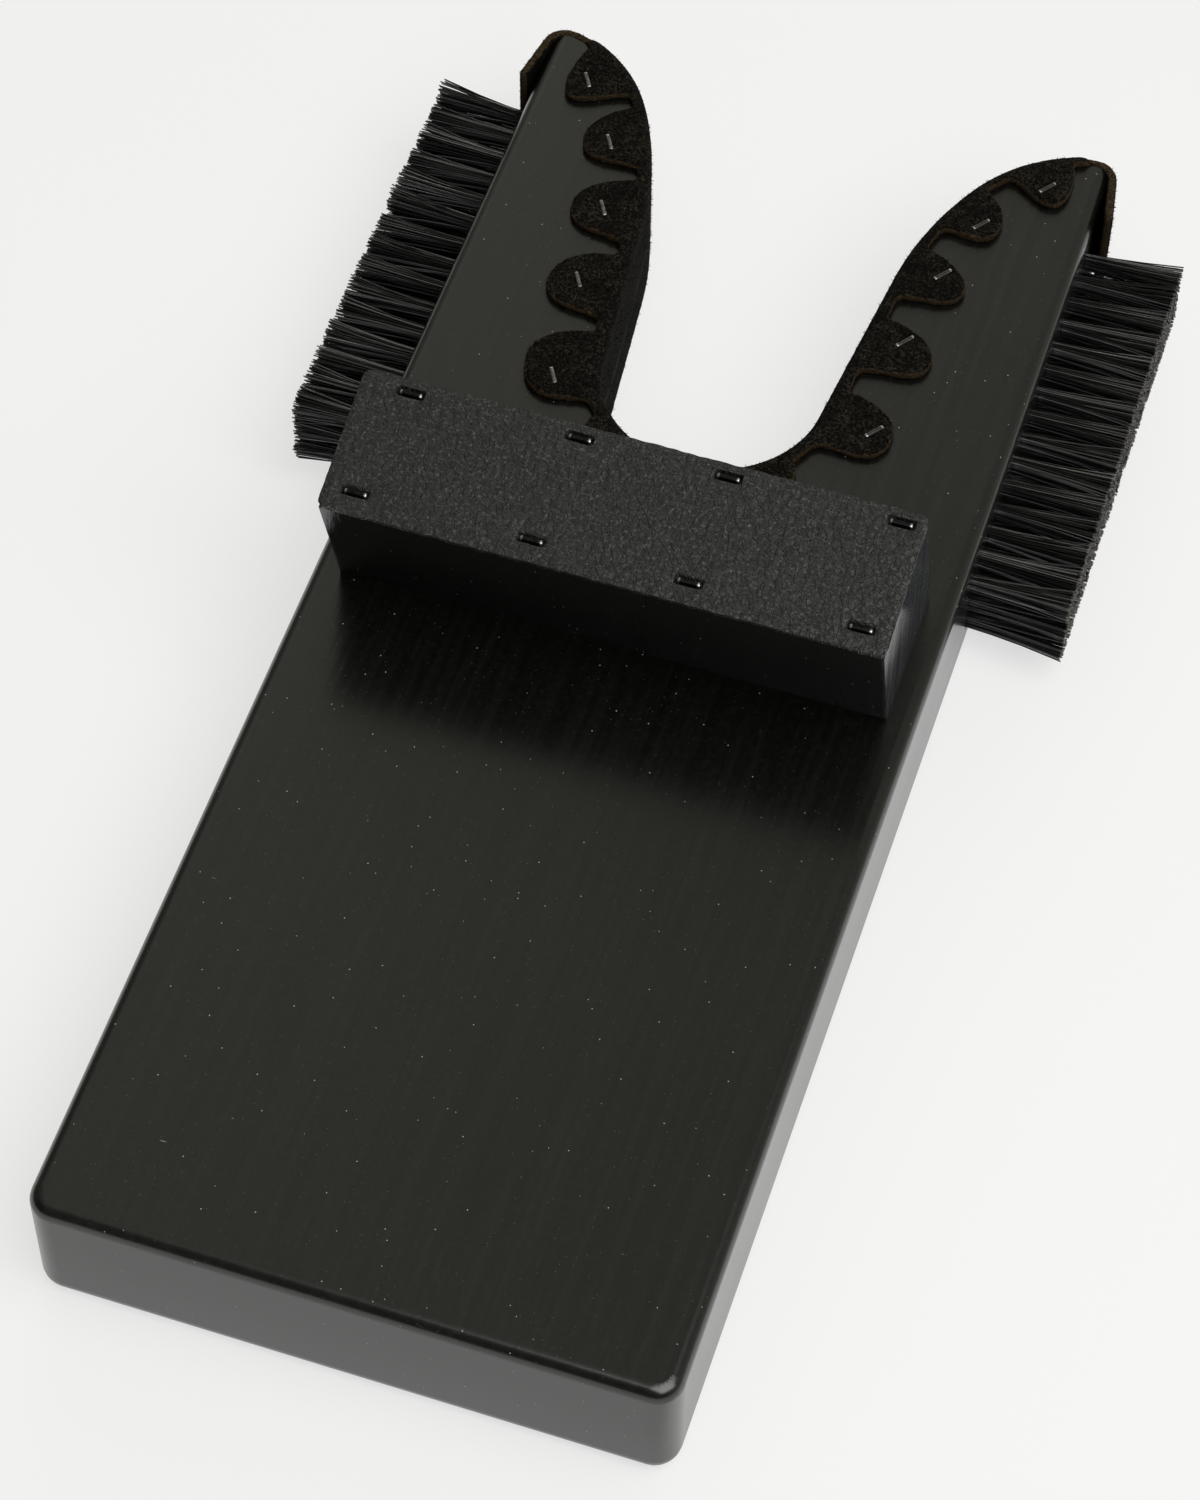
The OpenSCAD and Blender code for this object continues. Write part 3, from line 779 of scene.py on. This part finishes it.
nylon = makeNylon(nylonLook)
rng = random.Random(7)
filament = makeFilament(brushLook)
tuftKinds = [makeTuft(filament, brushLook, rng, "tuft%d" % i) for i in range(brushLook["kinds"])]
for side, word in ((-1, "left"), (1, "right")):
    bristles = makeBrush(brushLook, side, tuftKinds, rng, word + "Bristles")
    bristles.data.materials.append(nylon)
    bed = makeBed(brushLook, side, word + "TuftBed")
    bed.data.materials.append(boardPaint)
    for piece in (bristles, bed):
        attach(piece, "root")
        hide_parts(word + "_brush")
    print(word, "brush made:", len(bristles.data.polygons), "faces")
for piece in (filament, *tuftKinds):
    forget(piece)


# Floor, world, lamp and camera

studio = {
    "floor": (0.9, 0.898, 0.89), "floorSize": 24, "floorDrop": 0.1 * mm, "floorRough": 0.7,
    "floorSpecular": 0.2, "far": (0.35, 0.8),
    "seen": 0.4, "glow": 0.645, "paintedLightRight": 0.8, "paintedShadeFront": 0.53,
    "rightFrom": (74 * mm, 90 * mm), "frontFrom": (186 * mm, 200 * mm),
    "tint": (1, 0.985, 0.86), "sky": 0.28, "back": 1.3, "right": 0.12, "dim": 0.3, "white": 0.9,
    "leftWay": (-0.75, -0.35), "frontWay": (-0.6, 0.0), "backWay": (0.72, 0.9),
    "rightWay": (0.5, 0.75), "lowWay": (0.3, 0.55),
    "slopeAcross": (-0.28, -0.08, 1.36, 0.6), "slopeBack": (0.4, 0.64, 0.95, 1.25),
    "lampPower": 26, "lampSize": 1.7, "lampAt": (0.86, -0.5, 1.72),
}
viewpoint = {
    "lens": 106.27, "sensor": 36,
    "at": (0.1859, -0.5928, 0.9032), "turn": (34.285, -0.416, 18.242),
}


def makeFloor(look):
    # a pale card: the camera sees it lifted towards white, and so do reflections near the part; in those
    # reflections it is painted brighter on the right and dimmer in front, as painted light and shade
    dropSelection()
    bpy.ops.mesh.primitive_plane_add(size=look["floorSize"], location=(0, 0, -look["floorDrop"]))
    ground = fresh("floor")
    card = Finish("pale floor", Roughness=look["floorRough"])
    card.shader.inputs["Specular IOR Level"].default_value = look["floorSpecular"]
    card.shader.inputs["Emission Strength"].default_value = 1
    away = card.make("ShaderNodeVectorMath", {"operation": "LENGTH"}, {0: card.place}, 1)
    near = card.make("ShaderNodeLightPath", output=3) * (1 - away.above(*look["far"]))
    seen = near.math("MAXIMUM", card.make("ShaderNodeLightPath"))
    rightward = card.make("ShaderNodeSeparateXYZ", {}, {0: card.place})
    forward = card.make("ShaderNodeSeparateXYZ", {}, {0: card.place}, 1) * -1
    plain, right, front = ([look[key]] * 3 for key in ("glow", "paintedLightRight", "paintedShadeFront"))
    # painted light on the right and painted shade in front, seen only in reflections near the part
    glow = card.mix(near * rightward.above(*look["rightFrom"]), plain, right)
    glow = card.mix(near * forward.above(*look["frontFrom"]), glow, front)
    shown = [look["seen"] * v for v in look["floor"]]
    card.feed("Base Color", card.mix(seen, look["floor"], shown))
    card.feed("Emission Color", card.mix(seen, (0, 0, 0), glow))
    ground.data.materials.append(card.material)


def makeWorld(look):
    # a dim room with a bright wall behind and a lower one on the right, seen by the camera as white
    world = bpy.data.worlds.new("studio")
    bpy.context.scene.world = world
    world.use_nodes = True
    tree = world.node_tree

    def add(kind, settings, *values):
        node = tree.nodes.new(kind)
        for key, value in settings.items():
            setattr(node, key, value)
        for at, value in enumerate(values):
            if isinstance(value, bpy.types.NodeSocket):
                tree.links.new(value, node.inputs[at])
            elif value is not None:
                node.inputs[at].default_value = value
        return node.outputs

    def fade(source, low, high, start, end):
        settings = {"interpolation_type": "SMOOTHSTEP"}
        return add("ShaderNodeMapRange", settings, source, low, high, start, end)[0]

    def combined(how, first, *others):
        for other in others:
            first = add("ShaderNodeMath", {"operation": how}, first, other)[0]
        return first

    way = add("ShaderNodeSeparateXYZ", {}, add("ShaderNodeTexCoord", {})["Generated"])
    left = fade(way["X"], *look["leftWay"], look["dim"], 1.0)
    front = fade(way["Y"], *look["frontWay"], look["dim"], 1.0)
    back = fade(way["Y"], *look["backWay"], 0.0, look["back"])
    low = fade(way["Z"], *look["lowWay"], 1.0, 0.0)
    right = combined("MULTIPLY", fade(way["X"], *look["rightWay"], 0.0, look["right"]), low)
    across, deep = fade(way["X"], *look["slopeAcross"]), fade(way["Y"], *look["slopeBack"])
    room = combined("MULTIPLY", left, front, look["sky"], combined("MULTIPLY", across, deep))
    level = combined("ADD", room, back, right)
    path = add("ShaderNodeLightPath", {})
    seen = combined("MAXIMUM", path["Is Camera Ray"], path["Is Transmission Ray"])
    shade = tree.nodes["Background"]
    shade.inputs["Color"].default_value = (*look["tint"], 1)
    strength = add("ShaderNodeMix", {}, seen, None, level, look["white"])[0]
    tree.links.new(strength, shade.inputs["Strength"])


def makeLamp(look):
    lamp = bpy.data.lights.new("softbox", "AREA")
    lamp.size = look["lampSize"]
    lamp.energy = look["lampPower"]
    holder = bpy.data.objects.new("softbox", lamp)
    bpy.context.collection.objects.link(holder)
    holder.location = look["lampAt"]
    holder.rotation_euler = (Vector((0, 0, 0)) - holder.location).to_track_quat("-Z", "Y").to_euler()


def makeCamera(look):
    # where the photograph was taken from, with its turn in degrees
    camera = bpy.data.objects.new("camera", bpy.data.cameras.new("camera"))
    bpy.context.collection.objects.link(camera)
    camera.data.sensor_fit = "VERTICAL"
    camera.data.sensor_height = look["sensor"]
    camera.data.lens = look["lens"]
    camera.location = look["at"]
    camera.rotation_euler = [math.radians(v) for v in look["turn"]]
    bpy.context.scene.camera = camera


makeFloor(studio)
makeWorld(studio)
makeLamp(studio)
makeCamera(viewpoint)
bpy.context.scene.view_settings.view_transform = "Standard"
print("floor, light and camera set")
